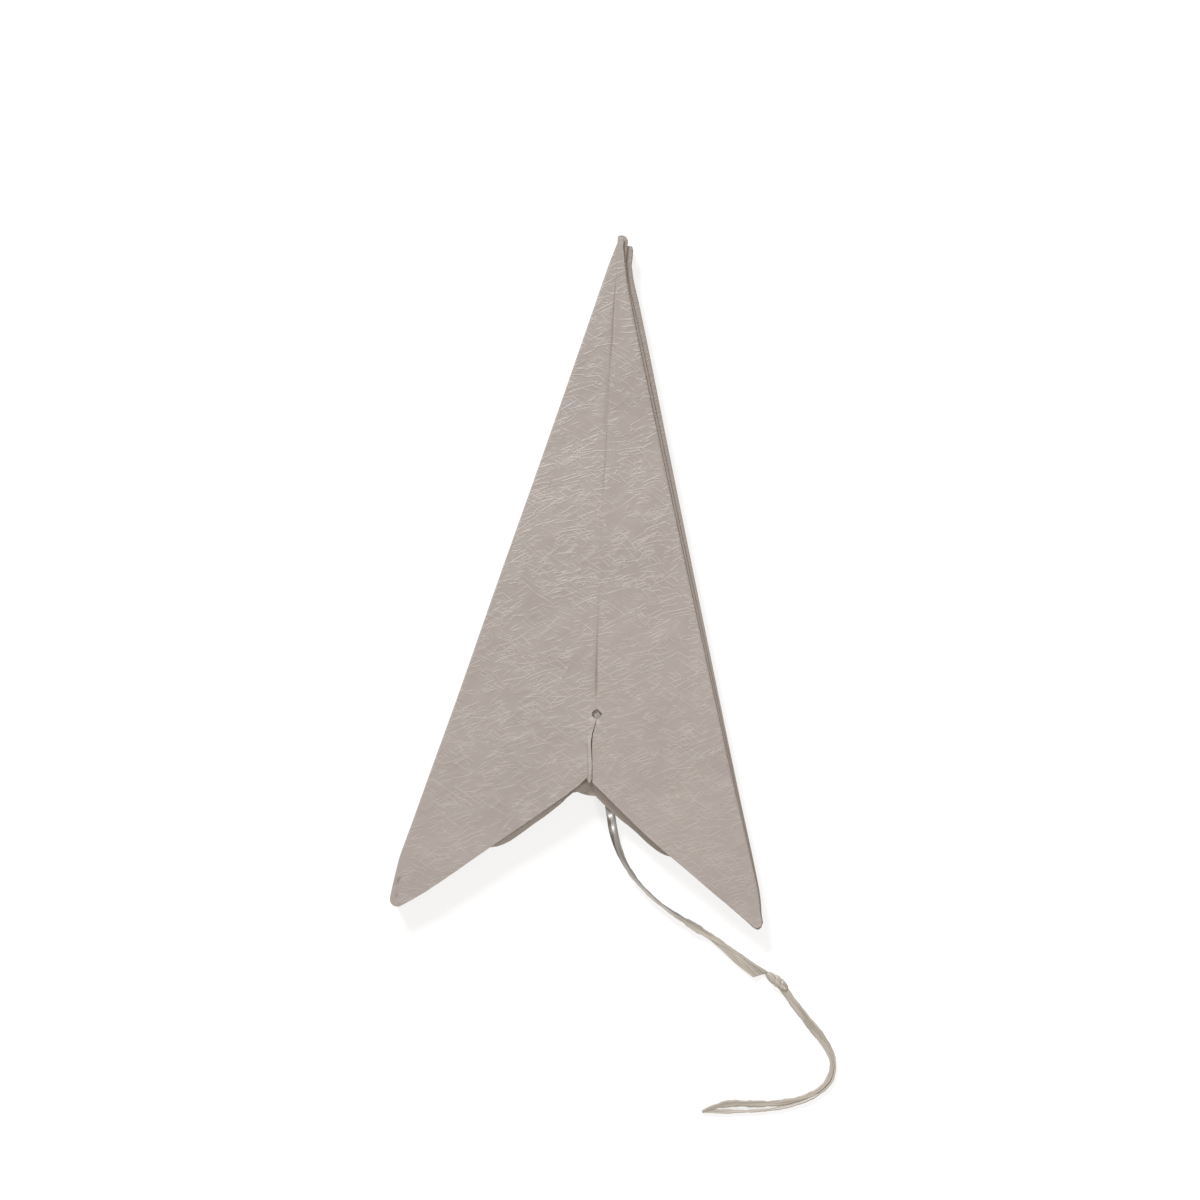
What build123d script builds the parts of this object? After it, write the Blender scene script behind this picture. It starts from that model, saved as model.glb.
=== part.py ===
import os
from math import tan, radians

from build123d import *

# A paper star for hanging, folded flat as it is stored. Each point of the star is one
# sheet of embossed card folded into a flat pocket shaped like an arrowhead: two layers
# joined along the two ridge folds, creased down the middle and open at the notch.
# The points lie on each other like the leaves of a fan and are glued at tabs along
# their notch edges. A satin ribbon, knotted into a hanging loop, comes out of the
# pocket of the middle point. All sizes are in millimetres; the star lies on Z = 0
# with its tips towards +Y.

# The star
point_count = 7          # points in the star
star_radius = 226.5      # hub axis to the sharp end of a tip
hub_half = 62.5          # half the depth of the hub, to the sharp end of a wing
notch_radius = 49.0      # hub axis to the bottom of the notch
crease_skew = 1.9        # how far the middle crease runs to the right at the notch
tip_round = 0.6          # rounding of the tip
wing_round = 2.8         # rounding of a wing

# The card and how it is stacked
card = 0.35              # thickness of the card
edge_pitch = 1.10        # height of one point at its ridge folds
notch_pitch = 1.40       # height of one point at the notch, where it gapes a little
point_gap = 0.14         # clearance between neighbouring points
fold_flat = 0.04         # what is left flat between the two rounded sides of a fold
fan_turn = 0.37          # degrees that one point turns from the next, in threes
fan_pivot = 55.0         # how far behind the hub axis the points turn

# Glue tabs and the web between them, measured along a notch edge from the notch
tab_near = 8.5           # start of a tab
tab_far = 38.5           # end of a tab
tab_depth = 2.8          # how far a tab stands out
tab_lead = 2.0           # slope at the near end of a tab
tab_tail = 7.0           # slope at the far end of a tab
tab_round = 1.5          # rounding of the corners of a tab
web_reach = 7.0          # reach of the web along each notch edge

# The cable hole and its slit, in the top layer only
hole_diameter = 3.2
hole_rise = 21.7         # notch to the middle of the hole, along the crease
slit_width = 0.8

# The ribbon: a flat band that lies on the table once it has left the star
ribbon_width = 3.0
ribbon_thickness = 0.25
strand_width = 1.5       # each side of the loop, gathered lengthwise by the knot
knot_radius = 1.9
knot_end_radius = 1.2
knot_waist = 0.45        # how deep the groove between the two wraps of the knot is
knot_overlap = 0.8       # how far the band runs into each end of the knot

# Routes of the ribbon, chosen by hand: from the pocket to the knot, and the two sides
# of the loop. Each place is measured from the notch, with its height above the table.
lead_route = [
    (6.1, -2.5, None),       # in the pocket
    (7.3, -11.4, None),      # at the mouth of the pocket
    (9.0, -19.8, 3.00),
    (12.7, -27.2, 1.10),
    (18.5, -33.8, 0.30),
    (26.5, -39.2, 0.30),
    (35.7, -44.7, 0.30),
    (44.7, -50.5, 0.30),
    (53.5, -55.8, 0.50),
    (61.3, -59.8, 1.30),
]
loop_outer = [
    (68.3, -65.4, 1.30),
    (72.7, -69.4, 0.40),
    (77.5, -74.4, 0.30),
    (81.9, -80.2, 0.30),
    (84.7, -86.8, 0.30),
    (83.9, -93.6, 0.30),
    (79.0, -99.0, 0.30),
    (71.1, -102.2, 0.30),
    (62.1, -104.4, 0.30),
    (53.1, -105.6, 0.30),
]
loop_inner = [
    (67.6, -66.3, 1.30),
    (71.5, -70.4, 0.40),
    (76.3, -75.4, 0.30),
    (80.5, -81.0, 0.30),
    (83.1, -86.9, 0.30),
    (82.3, -92.6, 0.30),
    (77.9, -97.3, 0.30),
    (70.5, -100.5, 0.30),
    (61.9, -101.9, 0.30),
    (53.3, -102.5, 0.30),
]
loop_end = (43.5, -106.2)    # the folded end of the loop
# the slanting cut end that lies along the band: by the knot, its corner, its point
cut_end = [(62.5, -61.0), (58.4, -60.7), (45.7, -52.6), (48.1, -52.2)]

# Places that follow from the sizes above
tip = Vector(0, star_radius)
notch = Vector(crease_skew, notch_radius)
wings = [Vector(-hub_half, 0), Vector(hub_half, 0)]
stack_top = point_count * notch_pitch
beyond = 2 * star_radius
ribbon_point = point_count // 2      # the point that holds the ribbon, counted from the table


# Plan outlines

def plan(*corners):
    # a flat face with straight sides through the given corners
    return make_face(Polyline(*[(c.X, c.Y) for c in corners], close=True))


def along_edge(wing, run, out):
    # a place by a notch edge: run along it from the notch, out away from the card
    edge = (wing - notch).normalized()
    away = Vector(-edge.Y, edge.X)
    if away.Y > 0:
        away = -away
    return notch + edge * run + away * out


def rounded_head():
    # the arrowhead with its rounded tip and wings
    head = plan(tip, wings[1], notch, wings[0])
    corners = head.vertices().sort_by(Axis.Y)
    head = fillet(corners[:2], wing_round)
    return fillet(head.vertices().sort_by(Axis.Y)[-1:], tip_round)


def glue_tab(wing):
    # one tab, rounded at its two outer corners, with its root inside the card
    root = -tab_depth
    outline = plan(
        along_edge(wing, tab_near, root),
        along_edge(wing, tab_near, 0),
        along_edge(wing, tab_near + tab_lead, tab_depth),
        along_edge(wing, tab_far - tab_tail, tab_depth),
        along_edge(wing, tab_far, 0),
        along_edge(wing, tab_far, root),
    )
    outer = outline.vertices().sort_by_distance(tuple(along_edge(wing, tab_far / 2, 2 * tab_depth)))
    return fillet(outer[:2], tab_round)


def notch_fringe():
    # what stands below the notch edges: both tabs and the web between them
    web = plan(notch, along_edge(wings[0], web_reach, 0), along_edge(wings[1], web_reach, 0))
    return glue_tab(wings[0]) + glue_tab(wings[1]) + web


def side_of_crease(wing):
    # everything on one wing's side of the middle crease
    up = (tip - notch).normalized() * beyond
    across = Vector(wing.X, 0).normalized() * beyond
    return plan(tip + up, notch - up, notch - up + across, tip + up + across)


# Sloping facets

def facet_plane(wing, level, lift):
    # the plane of one facet, through the tip, a wing and the notch at a level of the stack
    edge_z = level * edge_pitch + lift
    start = Vector(tip.X, tip.Y, edge_z)
    to_wing = Vector(wing.X, wing.Y, edge_z) - start
    to_notch = Vector(notch.X, notch.Y, level * notch_pitch + lift) - start
    normal = to_wing.cross(to_notch)
    if normal.Z < 0:
        normal = -normal
    return Plane(origin=start, z_dir=normal)


def between_levels(face, wing, low, low_lift, high, high_lift):
    # a plan face raised and trimmed to the facets below and above it
    raised = extrude(Pos(0, 0, -stack_top) * face, amount=3 * stack_top)
    raised = split(raised, bisect_by=facet_plane(wing, low, low_lift), keep=Keep.TOP)
    return split(raised, bisect_by=facet_plane(wing, high, high_lift), keep=Keep.BOTTOM)


def round_fold(half, wing):
    # the ridge fold: the long edges on the line from tip to wing, rounded
    ridge = (wing - tip).normalized()
    across = Vector(-ridge.Y, ridge.X)
    on_ridge = []
    for edge in half.edges():
        middle = edge.center() - tip
        if abs(middle.dot(across)) < card / 2 and edge.length > hub_half:
            on_ridge.append(edge)
    return fillet(on_ridge, (edge_pitch - point_gap - fold_flat) / 2)


def pocket_plan(wing):
    # the hollow of one half, a card's thickness inside the ridge fold and open at the notch
    ridge = (wing - tip).normalized()
    inward = Vector(-ridge.Y, ridge.X)
    if inward.X * wing.X > 0:
        inward = -inward
    start = tip + inward * card
    end = start + ridge * beyond
    other_side = Vector(-end.X, end.Y)
    return plan(start, end, other_side) & side_of_crease(wing)


def star_point(index):
    # one folded sheet, from the facets of its own level to those of the next
    sharp = plan(tip, wings[1], notch, wings[0]) + notch_fringe()
    body = None
    hollow = None
    for wing in wings:
        half_plan = sharp & side_of_crease(wing)
        half = between_levels(half_plan, wing, index, 0, index + 1, -point_gap)
        half = round_fold(half, wing)
        space = between_levels(pocket_plan(wing), wing, index, card, index + 1, -point_gap - card)
        body = half if body is None else body + half
        hollow = space if hollow is None else hollow + space
    rounded = extrude(Pos(0, 0, -stack_top) * (rounded_head() + notch_fringe()), amount=3 * stack_top)
    return (body & rounded) - hollow


def free_layer_cut(index):
    # the top layer of the last point has no fringe, but a cable hole and a slit to the notch
    crease = (tip - notch).normalized()
    middle = notch + crease * hole_rise
    hole = Pos(middle.X, middle.Y) * Circle(hole_diameter / 2)
    half_slit = Vector(crease.Y, -crease.X) * slit_width / 2
    below = notch - crease * tab_depth
    slit = plan(middle + half_slit, below + half_slit, below - half_slit, middle - half_slit)
    head = plan(tip, wings[1], notch, wings[0])
    cut = (notch_fringe() - head) + hole + slit
    parts = []
    for wing in wings:
        half = cut & side_of_crease(wing)
        parts.append(between_levels(half, wing, index + 0.5, 0, point_count + 1, 0))
    return parts[0] + parts[1]


# The ribbon

def pocket_height(x, y):
    # half-way up the pocket that holds the ribbon, at a place measured from the notch
    right_ridge = (wings[1] - tip).normalized()
    across = Vector(-right_ridge.Y, right_ridge.X)
    here = abs((notch + Vector(x, y) - tip).dot(across))
    share = here / abs((notch - tip).dot(across))
    pitch = edge_pitch + (notch_pitch - edge_pitch) * share
    return (ribbon_point + 0.5) * pitch - point_gap / 2


def placed(route):
    # the points of a route, with heights in the pocket worked out
    points = []
    for x, y, z in route:
        height = pocket_height(x, y) if z is None else z
        points.append(Vector(x, y, height))
    return points


def route_radii(points):
    # the largest arc for each corner: 0.45 of the shorter run over the tangent of half the turn
    radii = []
    for before, here, after in zip(points, points[1:], points[2:]):
        half_turn = radians((here - before).get_angle(after - here)) / 2
        shorter = min((here - before).length, (after - here).length)
        radii.append(0.45 * shorter / tan(half_turn))
    return radii


def band(name, route, width):
    # a flat band along straight runs joined by tangent arcs, with its width kept level
    points = placed(route)
    radii = route_radii(points)
    path = FilletPolyline(*points, radius=radii)
    print(name, "length", round(path.length, 1), "radii", [round(r, 1) for r in radii])
    start = Plane(origin=path @ 0, x_dir=(path % 0).cross(Vector(0, 0, 1)), z_dir=path % 0)
    solid = sweep(start * Rectangle(width, ribbon_thickness), path=path)
    print(name, "volume", round(solid.volume, 2), "section by length",
          round(width * ribbon_thickness * path.length, 2))
    return solid


def ribbon_knot():
    # the overhand knot: two rounded wraps with a groove between them
    start = Vector(*lead_route[-1])
    end = (Vector(*loop_outer[0]) + Vector(*loop_inner[0])) / 2
    middle = (start + end) / 2
    middle.Z = knot_radius
    axis = Vector(end.X - start.X, end.Y - start.Y)
    half = axis.length / 2 + knot_overlap
    groove = (knot_radius - knot_waist, 0)
    outline = Polyline((knot_end_radius, half), (0, half), (0, -half), (knot_end_radius, -half))
    outline += ThreePointArc((knot_end_radius, -half), (knot_radius, -half / 2), groove)
    outline += ThreePointArc(groove, (knot_radius, half / 2), (knot_end_radius, half))
    knot = revolve(make_face(outline), axis=Axis.Y)
    return Plane(origin=middle, x_dir=(0, 0, 1), z_dir=Vector(0, 0, 1).cross(axis)) * knot


def flat_piece(corners):
    # a flat piece of ribbon at the height of the band on the table
    low = loop_outer[-1][2] - ribbon_thickness / 2
    return extrude(Pos(0, 0, low) * plan(*corners), amount=ribbon_thickness)


def loop_fold():
    # the flat folded end that joins the two sides of the loop
    corners = []
    for route, side in ((loop_outer, 1), (loop_inner, -1)):
        last = Vector(*route[-1])
        run = (last - Vector(*route[-2])).normalized()
        outward = Vector(-run.Y, run.X) * side * strand_width / 2
        corners += [last - run * strand_width + outward, last + outward]
    return flat_piece([corners[0], corners[1], Vector(*loop_end), corners[3], corners[2]])


def hanging_ribbon():
    # one length of ribbon: from the pocket to the knot, the loop, and the cut end
    pieces = [
        band("lead", lead_route, ribbon_width),
        band("outer side of the loop", loop_outer, strand_width),
        band("inner side of the loop", loop_inner, strand_width),
        flat_piece([Vector(*corner) for corner in cut_end]),
        loop_fold(),
    ]
    ribbon = ribbon_knot()
    for piece in pieces:
        ribbon += piece
    return Pos(notch.X, notch.Y) * ribbon


# Everything is built on the hub axis, then moved so that the middle of the star is the origin

def main():
    os.makedirs("parts", exist_ok=True)
    centre = rounded_head().bounding_box().center()
    print("middle of the star above the hub axis", round(centre.Y, 3))
    turning_axis = Axis((0, -fan_pivot, 0), (0, 0, 1))
    for index in range(point_count):
        point = star_point(index)
        if index == point_count - 1:
            point = point - free_layer_cut(index)
        below_top = point_count - 1 - index
        point = point.rotate(turning_axis, -fan_turn * (below_top % 3))
        point = Pos(-centre.X, -centre.Y) * point
        number = below_top + 1
        export_step(point, f"parts/star_point_{number}.step")
    ribbon = Pos(-centre.X, -centre.Y) * hanging_ribbon()
    export_step(ribbon, "parts/hanging_ribbon.step")


main()
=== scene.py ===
import math

import bmesh
import bpy
import numpy as np
from mathutils import Matrix, Vector


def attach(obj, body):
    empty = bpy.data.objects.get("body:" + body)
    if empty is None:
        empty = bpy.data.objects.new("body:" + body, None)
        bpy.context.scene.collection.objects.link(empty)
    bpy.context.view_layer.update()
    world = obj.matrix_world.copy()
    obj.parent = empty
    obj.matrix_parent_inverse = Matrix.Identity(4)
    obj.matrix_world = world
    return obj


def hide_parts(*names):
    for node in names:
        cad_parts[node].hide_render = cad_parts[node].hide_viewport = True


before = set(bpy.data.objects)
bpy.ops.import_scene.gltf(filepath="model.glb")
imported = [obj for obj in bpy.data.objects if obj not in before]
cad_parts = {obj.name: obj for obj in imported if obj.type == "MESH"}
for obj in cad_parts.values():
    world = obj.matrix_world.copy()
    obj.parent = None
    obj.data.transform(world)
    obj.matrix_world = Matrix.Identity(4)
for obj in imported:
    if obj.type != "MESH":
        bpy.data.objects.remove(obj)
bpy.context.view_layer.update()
print("frame loaded:", len(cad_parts), "nodes")

# The folded star in millimetres from the hub axis, as the part's source has it
star = {
    "points": 7,
    "tip": (0.0, 226.5),
    "wingHalf": 62.5,
    "notch": (1.9, 49.0),
    "edgePitch": 1.10,  # height of one point at its ridge folds
    "notchPitch": 1.40,  # height of one point at the notch
    "pointGap": 0.14,
    "cardThick": 0.35,
    "fanTurn": (0.0, 0.10, 0.54),  # degrees by place in the fan, which repeats in threes
    "fanPivot": 55.0,  # how far behind the hub axis the fan turns
    "hubToFrame": (0.0562, -114.6476),  # added to places from the hub axis to give those in the shared frame
}
tip = np.array(star["tip"])
notch = np.array(star["notch"])
creaseRun = tip[1] - notch[1]


# Small helpers

def easeStep(x):
    # cubic step: 3 x squared less 2 x cubed, held at 0 and 1 outside
    x = np.clip(x, 0.0, 1.0)
    return x * x * (3.0 - 2.0 * x)


def lineThrough(places, knots):
    # smooth line through (place, value) knots: cubic Hermite, slopes from the neighbouring knots
    at = np.array([k[0] for k in knots], float)
    value = np.array([k[1] for k in knots], float)
    slope = np.gradient(value, at)
    x = np.clip(places, at[0], at[-1])
    i = np.clip(np.searchsorted(at, x, side="right") - 1, 0, len(at) - 2)
    span = at[i + 1] - at[i]
    u = (x - at[i]) / span
    start = (1 + 2 * u) * (1 - u) ** 2 * value[i] + u * (1 - u) ** 2 * span * slope[i]
    end = u * u * (3 - 2 * u) * value[i + 1] + u * u * (u - 1) * span * slope[i + 1]
    return start + end


def toFrame(points):
    # millimetres from the hub axis, moved to the shared frame and turned to metres
    return (points + np.array([*star["hubToFrame"], 0.0])) * 0.001


def fanned(points, fan):
    # clockwise turn about the fan's pivot: x cos + y sin, y cos - x sin
    angle = math.radians(star["fanTurn"][fan])
    away = points[:, 1] + star["fanPivot"]
    x = points[:, 0] * math.cos(angle) + away * math.sin(angle)
    y = away * math.cos(angle) - points[:, 0] * math.sin(angle) - star["fanPivot"]
    return np.column_stack([x, y, points[:, 2]])


def withHeight(plan, z):
    # places in plan and their heights, as points
    return np.concatenate([plan, z[..., None]], -1)


def newShell():
    # an empty surface: points, four-sided and three-sided faces, and the painted light or shade of each point
    return {"points": [], "quads": [], "tris": [], "raised": [], "count": 0}


def addGrid(shell, grid, raised=None):
    # puts a grid of points in and returns their numbers in the same rows and columns
    rows, columns = grid.shape[:2]
    numbers = shell["count"] + np.arange(rows * columns).reshape(rows, columns)
    shell["points"].append(grid.reshape(-1, 3))
    shell["raised"].append(np.zeros(rows * columns) if raised is None else raised.reshape(-1))
    shell["count"] += rows * columns
    return numbers


def fillGrid(shell, numbers):
    # one four-sided face for each cell of a grid of point numbers
    cells = np.stack([numbers[:-1, :-1], numbers[1:, :-1], numbers[1:, 1:], numbers[:-1, 1:]], -1)
    shell["quads"].append(cells.reshape(-1, 4))


def lengthShare(shell, line):
    # share of its length at each point of a line of point numbers
    points = np.concatenate(shell["points"])[line]
    steps = np.linalg.norm(np.diff(points, axis=0), axis=1)
    return np.concatenate([[0.0], np.cumsum(steps)]) / max(steps.sum(), 1e-9)


def bridge(shell, lineA, lineB):
    # triangles between two lines of different counts: each edge of A meets the point of B that is
    # nearest by share of length, and each edge of B meets the point of A where that changes
    shareA = lengthShare(shell, lineA)
    shareB = lengthShare(shell, lineB)
    middle = (shareA[1:] + shareA[:-1]) / 2
    near = np.maximum.accumulate(np.abs(middle[:, None] - shareB[None, :]).argmin(1))
    turn = np.searchsorted(near, np.arange(len(lineB) - 1), side="right")
    shell["tris"].append(np.column_stack([lineA[:-1], lineA[1:], lineB[near]]))
    shell["tris"].append(np.column_stack([lineB[1:], lineB[:-1], lineA[turn]]))


meshCare = {
    "weld": 2e-8,  # metres between points that are one
    "flat": 1e-9,  # and the shortest edge of a face
}


def cleanMesh(mesh, weld):
    # welds points that coincide and drops faces without area where asked, turns the normals outwards
    # and counts the edges that aren't shared by two faces
    work = bmesh.new()
    work.from_mesh(mesh)
    if weld:
        bmesh.ops.remove_doubles(work, verts=work.verts, dist=meshCare["weld"])
        bmesh.ops.dissolve_degenerate(work, edges=work.edges, dist=meshCare["flat"])
        bmesh.ops.delete(work, geom=[v for v in work.verts if not v.link_faces], context="VERTS")
    bmesh.ops.recalc_face_normals(work, faces=work.faces)
    loose = sum(1 for e in work.edges if len(e.link_faces) != 2)
    work.to_mesh(mesh)
    work.free()
    return loose


def pointValues(mesh, name, values):
    # one number for each point, for the material to read
    mesh.attributes.new(name, "FLOAT", "POINT")
    mesh.attributes[name].data.foreach_set("value", values.ravel().astype(np.float32))


def finishPiece(mesh, material, sharpAngle):
    # smooth shading with sharp edges past an angle in degrees, on the part's one body
    mesh.polygons.foreach_set("use_smooth", np.ones(len(mesh.polygons), bool))
    mesh.set_sharp_from_angle(angle=math.radians(sharpAngle))
    mesh.materials.append(material)
    piece = bpy.data.objects.new(mesh.name, mesh)
    bpy.context.scene.collection.objects.link(piece)
    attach(piece, "root")
    return piece


def shellObject(name, shell, material, sharpAngle, mover=None):
    # the object of a shell, moved to the shared frame
    points = np.concatenate(shell["points"])
    points = toFrame(points if mover is None else mover(points))
    faces = [f for part in shell["quads"] + shell["tris"] for f in part.tolist()]
    mesh = bpy.data.meshes.new(name)
    mesh.from_pydata(points.tolist(), [], faces)
    # painted light and shade of each point, which the card's colour reads
    pointValues(mesh, "raised", np.concatenate(shell["raised"]))
    loose = cleanMesh(mesh, True)
    piece = finishPiece(mesh, material, sharpAngle)
    triangles = sum(len(p.vertices) - 2 for p in mesh.polygons)
    print(name, "made:", triangles, "triangles,", loose, "edges not shared by two faces")
    return piece


# Materials

def feed(tree, node, inputs):
    # links each named input from a socket, or sets it to a constant
    for name, value in inputs.items():
        if isinstance(value, bpy.types.NodeSocket):
            tree.links.new(value, node.inputs[name])
        else:
            node.inputs[name].default_value = value


def addNode(tree, kind, inputs, **settings):
    # a shader node with its settings and inputs
    node = tree.nodes.new("ShaderNode" + kind)
    for name, value in settings.items():
        setattr(node, name, value)
    feed(tree, node, inputs)
    return node


def newMaterial(name):
    # a new material, its tree and its main shader
    material = bpy.data.materials.new(name)
    material.use_nodes = True
    return material, material.node_tree, material.node_tree.nodes["Principled BSDF"]


def pointValue(tree, name):
    # a number that the points carry
    return addNode(tree, "Attribute", {}, attribute_name=name).outputs["Fac"]


def mathValue(tree, operation, *values, clamp=False):
    # one sum of up to three values; each is a socket or a number
    inputs = dict(enumerate(values))
    return addNode(tree, "Math", inputs, operation=operation, use_clamp=clamp).outputs["Value"]


def noiseValue(tree, place, scale, detail, distortion=0.0):
    # soft noise between 0 and 1
    inputs = {"Vector": place, "Scale": scale, "Detail": detail, "Distortion": distortion}
    return addNode(tree, "TexNoise", inputs).outputs["Fac"]


def rangeValue(tree, value, source, target=(0.0, 1.0), curve="LINEAR"):
    # a value carried from one range to another and held at its ends
    inputs = {"Value": value, "From Min": source[0], "From Max": source[1]}
    inputs.update({"To Min": target[0], "To Max": target[1]})
    return addNode(tree, "MapRange", inputs, interpolation_type=curve).outputs["Result"]


def rampColor(tree, factor, places, colors):
    # one colour up to the first place, another from the second, mixed between them
    node = addNode(tree, "ValToRGB", {"Fac": factor})
    for element, place, color in zip(node.color_ramp.elements, places, colors):
        element.position = place
        element.color = color
    return node.outputs["Color"]


def mixInto(tree, factor, base, color):
    # a second colour laid over the first by a factor
    inputs = {"Factor": factor, "A": base, "B": color}
    return addNode(tree, "Mix", inputs, data_type="RGBA").outputs["Result"]


def bumpNormal(tree, height, strength, depth, under=None):
    # the normal bent by a height, over an earlier bump where there is one
    inputs = {"Height": height, "Strength": strength, "Distance": depth}
    if under is not None:
        inputs["Normal"] = under
    return addNode(tree, "Bump", inputs).outputs["Normal"]


cardLook = {
    "pale": (0.437, 0.387, 0.352, 1),
    "dark": (0.398, 0.351, 0.319, 1),
    "rosy": (0.425, 0.372, 0.349, 1),  # the second tint of its clouds
    "ridge": (0.640, 0.580, 0.532, 1),  # painted highlight on the raised strokes, and painted light where the points' value is above nought
    "crease": (0.300, 0.249, 0.200, 1),  # painted shade: in the crease groove, inside the points, on the points below the first, in the dents and where the strip rests
    "cloud": (34.0, 5.0),  # scale per metre and detail
    "cloudEnds": (0.36, 0.64),
    "tint": (190.0, 3.0),
    "tintEnds": (0.42, 0.62),
    "tintMost": 0.62,
    "strokeSize": (0.0105, 0.0021, 0.004),  # metres along and across the fine strokes
    "strokeTurns": (29.0, -31.0, 14.0),  # degrees
    "strokeShift": (0.31, 0.17),  # between the layers of strokes
    "strokeWave": (1.0, 0.8, 0.3),  # scale, detail and distortion of the noise they come from
    "strokeHalf": 0.16,  # half-width of a stroke, and the step that measures it, as shares
    "strokeStep": 0.10,
    "leastChange": 0.006,
    "strokeDepth": (1.0, 0.00008),  # strength and metres
    "fineStrokeHighlight": 0.46,  # painted highlight: how much lighter the fine strokes are
    "patch": (190.0, 1.0),  # the noise that breaks them
    "patchShift": (1.7, 0.6),
    "patchEnds": (0.45, 0.56),
    "calm": (-0.108, 0.075, 0.55, 1.3),  # y in metres between which the strokes grow, and by how much
    "grain": (1500.0, 3.0),
    "grainDepth": (0.5, 0.00003),
    "roughness": (0.44, 0.60),
    "specular": 0.42,
}


def fineStrokes(tree, place, turn, number):
    # thin lines where a noise stretched along one direction passes its middle: |noise - 0.5| over its
    # change per step across, so that all are as wide; broken by a second noise
    look = cardLook
    lay = addNode(tree, "Mapping", {
        "Vector": place,
        "Location": (look["strokeShift"][0] * number, look["strokeShift"][1] * number, 0.0),
        "Rotation": (0.0, 0.0, math.radians(turn)),
        "Scale": look["strokeSize"],
    }, vector_type="TEXTURE").outputs["Vector"]
    beside = addNode(tree, "VectorMath", {0: lay, 1: (0.0, look["strokeStep"], 0.0)}).outputs["Vector"]
    wave = noiseValue(tree, lay, *look["strokeWave"])
    waveBeside = noiseValue(tree, beside, *look["strokeWave"])
    change = mathValue(tree, "ABSOLUTE", mathValue(tree, "SUBTRACT", waveBeside, wave))
    change = mathValue(tree, "MAXIMUM", change, look["leastChange"])
    off = mathValue(tree, "ABSOLUTE", mathValue(tree, "SUBTRACT", wave, 0.5))
    off = mathValue(tree, "DIVIDE", off, change)
    line = rangeValue(tree, off, (0.0, look["strokeHalf"] / look["strokeStep"]), (1.0, 0.0), "SMOOTHSTEP")
    apart = addNode(tree, "Mapping", {
        "Vector": place,
        "Location": (look["patchShift"][0] * number, look["patchShift"][1] * number, 0.0),
    }).outputs["Vector"]
    patch = rangeValue(tree, noiseValue(tree, apart, *look["patch"]), look["patchEnds"])
    return mathValue(tree, "MULTIPLY", line, patch)


def cardMaterial():
    # warm grey coated card: clouds of three tints, a grain, fine strokes painted lighter as highlights, and
    # painted light and shade from the points' values
    look = cardLook
    material, tree, shader = newMaterial("embossed_card")
    place = addNode(tree, "TexCoord", {}).outputs["Object"]
    cloud = noiseValue(tree, place, *look["cloud"])
    color = rampColor(tree, cloud, look["cloudEnds"], (look["dark"], look["pale"]))
    tint = noiseValue(tree, place, *look["tint"])
    tint = rangeValue(tree, tint, look["tintEnds"], (0.0, look["tintMost"]))
    color = mixInto(tree, tint, color, look["rosy"])
    strokes = 0.0
    for number, turn in enumerate(look["strokeTurns"], 1):
        strokes = mathValue(tree, "MAXIMUM", strokes, fineStrokes(tree, place, turn, number))
    y = addNode(tree, "SeparateXYZ", {"Vector": place}).outputs["Y"]
    calm = rangeValue(tree, y, look["calm"][:2], look["calm"][2:], "SMOOTHSTEP")
    strokes = mathValue(tree, "MULTIPLY", strokes, calm)
    raised = pointValue(tree, "raised")
    # painted highlight: lighter on the fine strokes and where the points' value is above nought
    paintedLight = mathValue(tree, "MULTIPLY_ADD", strokes, look["fineStrokeHighlight"], raised, clamp=True)
    color = mixInto(tree, paintedLight, color, look["ridge"])
    # painted shade: darker where the points' value is below nought
    paintedShade = mathValue(tree, "MULTIPLY", raised, -1.0, clamp=True)
    color = mixInto(tree, paintedShade, color, look["crease"])
    normal = bumpNormal(tree, noiseValue(tree, place, *look["grain"]), *look["grainDepth"])
    feed(tree, shader, {
        "Base Color": color,
        "Roughness": rangeValue(tree, cloud, (0.0, 1.0), look["roughness"]),
        "Specular IOR Level": look["specular"],
        "Normal": bumpNormal(tree, strokes, *look["strokeDepth"], normal),
    })
    return material


ribbonLook = {
    "pale": (0.57, 0.515, 0.450, 1),
    "dark": (0.37, 0.325, 0.275, 1),
    "shade": (0.15, 0.13, 0.115, 1),  # where an edge is turned away
    "paintedReflection": (0.40, 0.388, 0.38, 1),  # painted reflection: greyer where it is glossy
    "paintedReflectionShare": 0.75,
    "roughness": 0.34,
    "specular": 0.55,
    "sheen": 0.15,
    "coat": 0.24,  # roughness of its gloss
    "coatIor": 2.6,
    "stretch": (9.0, 11.0, 1.0),  # of the threads, along and round the band
    "threads": (1.0, 4.0),
    "threadEnds": (0.34, 0.58),
    "threadDepth": (0.4, 0.00006),
}


def ribbonMaterial():
    # satin: lengthwise threads from the band's own UV, a soft sheen and a fairly sharp gloss, with painted
    # shade and a painted reflection from the band's values
    look = ribbonLook
    material, tree, shader = newMaterial("satin_ribbon")
    along = addNode(tree, "UVMap", {}, uv_map="along").outputs["UV"]
    along = addNode(tree, "Mapping", {"Vector": along, "Scale": look["stretch"]}).outputs["Vector"]
    thread = noiseValue(tree, along, *look["threads"])
    color = rampColor(tree, thread, look["threadEnds"], (look["dark"], look["pale"]))
    shade = pointValue(tree, "shade")
    gloss = pointValue(tree, "gloss")
    # painted reflection: greyer colour where the band is glossy
    color = mixInto(tree, mathValue(tree, "MULTIPLY", gloss, look["paintedReflectionShare"]), color, look["paintedReflection"])
    feed(tree, shader, {
        "Base Color": mixInto(tree, shade, color, look["shade"]),
        "Roughness": look["roughness"],
        "Specular IOR Level": look["specular"],
        "Sheen Weight": look["sheen"],
        "Coat Weight": gloss,
        "Coat Roughness": look["coat"],
        "Coat IOR": look["coatIor"],
        "Normal": bumpNormal(tree, thread, *look["threadDepth"]),
    })
    return material


card = cardMaterial()
satin = ribbonMaterial()
print("materials made")

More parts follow.
